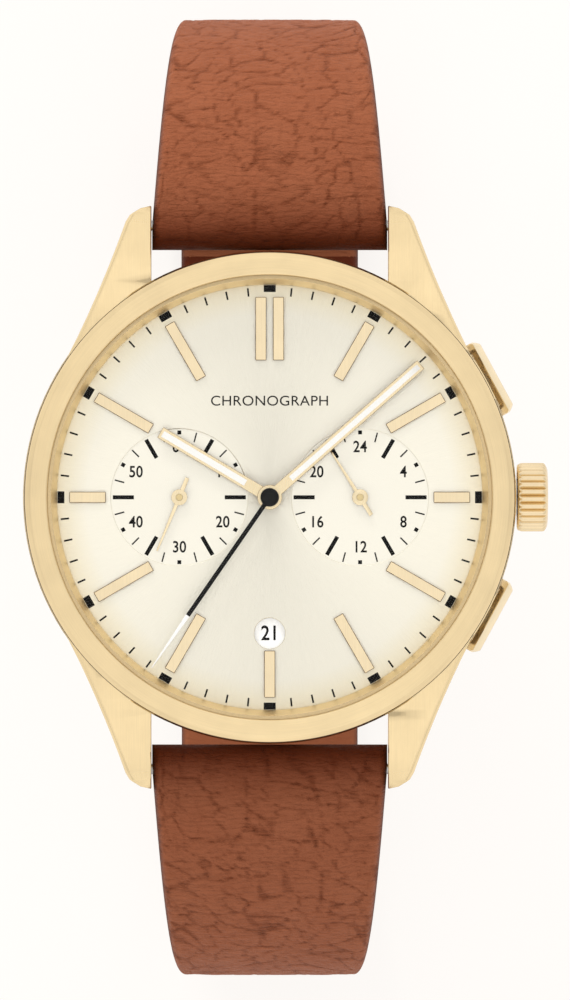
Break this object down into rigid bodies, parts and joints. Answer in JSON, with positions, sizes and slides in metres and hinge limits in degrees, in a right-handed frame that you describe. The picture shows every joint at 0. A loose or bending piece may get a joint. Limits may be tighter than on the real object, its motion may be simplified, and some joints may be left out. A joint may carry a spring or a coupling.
{
  "type": "chronograph wristwatch",
  "caption": "Round gold-tone chronograph wristwatch with a domed-edge dial, side pushers, fluted crown and a curved tan leather strap with pin buckle.",
  "frame": {"origin": "middle of the case back's outer face", "axes": "+Z out through the dial, +Y towards 12 o'clock, +X towards the crown at 3 o'clock"},
  "size_m": [0.0448, 0.0834, 0.0614],
  "materials": {
    "gold_brushed": "light gold plating, brushed in circles and straight lines",
    "gold_polished": "light gold plating, polished",
    "crystal": "clear mineral glass",
    "gasket": "black, matt",
    "crystal_seal": "translucent nylon seen dark against the gold bezel",
    "dial": "cream silver lacquer with sunray brushing",
    "steel": "plain stainless steel",
    "movement_brass": "rhodium washed brass plates and wheels",
    "holder": "white moulded plastic",
    "board": "green laminate",
    "chip": "black moulded plastic",
    "copper": "enamelled copper winding",
    "magnet": "magnet and soft iron",
    "date_print": "white with black numbers",
    "hand_gold": "polished gold plating",
    "hand_lume": "off white luminous paint",
    "hand_black": "black lacquer with a white point",
    "leather": "tan brown pebbled calf leather, matt"
  },
  "bodies": {
    "case": {"mid_case": "gold_brushed", "bezel": "gold_brushed", "crystal": "crystal", "crystal_gasket": "crystal_seal", "flange_ring": "gold_polished", "case_back": "gold_brushed", "case_back_gasket": "gasket", "dial": "dial", "hour_indices": "hand_gold", "movement_holder": "holder", "main_plate": "movement_brass", "train_bridge": "movement_brass", "bridge_screws": "steel", "date_ring_cover": "steel", "battery": "steel", "battery_clamp": "steel", "circuit_board": "board", "control_chip": "chip", "quartz_can": "steel", "coil_core": "magnet", "coil_winding": "copper", "motor_stator": "magnet", "crown_tube": "steel", "pusher_tubes": "steel", "pusher_springs": "steel", "lug_spring_bars": "steel"},
    "minutes": {"minute_wheel": "movement_brass", "minute_hand": "hand_gold", "minute_lume": "hand_lume"},
    "hours": {"hour_wheel": "movement_brass", "hour_hand": "hand_gold", "hour_lume": "hand_lume"},
    "motion_work": {"motion_wheel": "movement_brass"},
    "third": {"third_wheel": "movement_brass"},
    "rotor": {"motor_rotor": "magnet"},
    "seconds": {"chronograph_wheel": "movement_brass", "seconds_hand": "hand_black"},
    "minute_counter": {"minute_counter_wheel": "movement_brass", "minute_counter_hand": "hand_gold"},
    "day_counter": {"day_counter_wheel": "movement_brass", "day_counter_hand": "hand_gold"},
    "date": {"date_ring": "date_print"},
    "setting": {"setting_lever": "steel"},
    "crown": {"crown": "gold_polished", "crown_gasket": "gasket", "winding_stem": "steel", "sliding_pinion": "steel"},
    "start_pusher": {"start_pusher_cap": "gold_polished", "start_pusher_stem": "steel", "start_pusher_clip": "steel"},
    "reset_pusher": {"reset_pusher_cap": "gold_polished", "reset_pusher_stem": "steel", "reset_pusher_clip": "steel"},
    "short_strap": {"strap_short": "leather", "fixed_keeper": "leather", "buckle_spring_bar": "steel"},
    "sliding_keeper": {"free_keeper": "leather"},
    "buckle": {"buckle_frame": "gold_polished"},
    "tongue": {"buckle_tongue": "gold_polished"},
    "long_strap": {"strap_long": "leather"}
  },
  "joints": [
    {"name": "minute_hand_turn", "type": "hinge", "parent": "case", "child": "minutes", "pos_m": [0, 0, 0.005], "axis": [0, 0, -1], "continuous": true},
    {"name": "hour_hand_turn", "type": "hinge", "parent": "case", "child": "hours", "pos_m": [0, 0, 0.005], "axis": [0, 0, -1], "continuous": true},
    {"name": "motion_wheel_turn", "type": "hinge", "parent": "case", "child": "motion_work", "pos_m": [0, 0.0036, 0.005], "axis": [0, 0, -1], "continuous": true},
    {"name": "third_wheel_turn", "type": "hinge", "parent": "case", "child": "third", "pos_m": [-0.0028, 0.00485, 0.005], "axis": [0, 0, -1], "continuous": true},
    {"name": "rotor_turn", "type": "hinge", "parent": "case", "child": "rotor", "pos_m": [-0.0062, 0.0036, 0.005], "axis": [0, 0, -1], "continuous": true},
    {"name": "seconds_hand_turn", "type": "hinge", "parent": "case", "child": "seconds", "pos_m": [0, 0, 0.005], "axis": [0, 0, -1], "continuous": true},
    {"name": "minute_counter_turn", "type": "hinge", "parent": "case", "child": "minute_counter", "pos_m": [-0.00772, 0, 0.005], "axis": [0, 0, -1], "continuous": true},
    {"name": "day_counter_turn", "type": "hinge", "parent": "case", "child": "day_counter", "pos_m": [0.00772, 0, 0.005], "axis": [0, 0, -1], "continuous": true},
    {"name": "date_ring_turn", "type": "hinge", "parent": "case", "child": "date", "pos_m": [0, 0, 0.005], "axis": [0, 0, -1], "continuous": true},
    {"name": "crown_pull", "type": "slide", "parent": "case", "child": "setting", "axis": [1, 0, 0], "range_m": [0, 0.0016]},
    {"name": "crown_turn", "type": "hinge", "parent": "setting", "child": "crown", "pos_m": [0.0225, 0, 0.0042], "axis": [1, 0, 0], "continuous": true},
    {"name": "start_pusher_press", "type": "slide", "parent": "case", "child": "start_pusher", "axis": [-0.8788, -0.4772, 0], "range_m": [0, 0.0008], "stiffness_N_per_m": 1200},
    {"name": "reset_pusher_press", "type": "slide", "parent": "case", "child": "reset_pusher", "axis": [-0.8788, 0.4772, 0], "range_m": [0, 0.0008], "stiffness_N_per_m": 1200},
    {"name": "short_strap_swing", "type": "hinge", "parent": "case", "child": "short_strap", "pos_m": [0, 0.0233, 0.0025], "axis": [1, 0, 0], "range_deg": [0, 80]},
    {"name": "long_strap_swing", "type": "hinge", "parent": "case", "child": "long_strap", "pos_m": [0, -0.0233, 0.0025], "axis": [-1, 0, 0], "range_deg": [0, 80]},
    {"name": "sliding_keeper_travel", "type": "hinge", "parent": "short_strap", "child": "sliding_keeper", "pos_m": [0, 0.0257, -0.0319], "axis": [1, 0, 0], "range_deg": [-6, 58]},
    {"name": "buckle_swing", "type": "hinge", "parent": "short_strap", "child": "buckle", "pos_m": [0, 0.0188, -0.0466], "axis": [1, 0, 0], "range_deg": [-60, 30]},
    {"name": "tongue_swing", "type": "hinge", "parent": "buckle", "child": "tongue", "pos_m": [0, 0.0188, -0.0466], "axis": [1, 0, 0], "range_deg": [0, 60]}
  ],
  "couplings": [
    {"joint": "hour_hand_turn", "follows": "minute_hand_turn", "ratio": 0.083333},
    {"joint": "motion_wheel_turn", "follows": "minute_hand_turn", "ratio": -0.37255},
    {"joint": "third_wheel_turn", "follows": "minute_hand_turn", "ratio": -3.2308},
    {"joint": "rotor_turn", "follows": "minute_hand_turn", "ratio": 19.385},
    {"joint": "day_counter_turn", "follows": "minute_hand_turn", "ratio": 0.041667},
    {"joint": "date_ring_turn", "follows": "minute_hand_turn", "ratio": 0.0013441},
    {"joint": "minute_counter_turn", "follows": "seconds_hand_turn", "ratio": 0.016667}
  ]
}
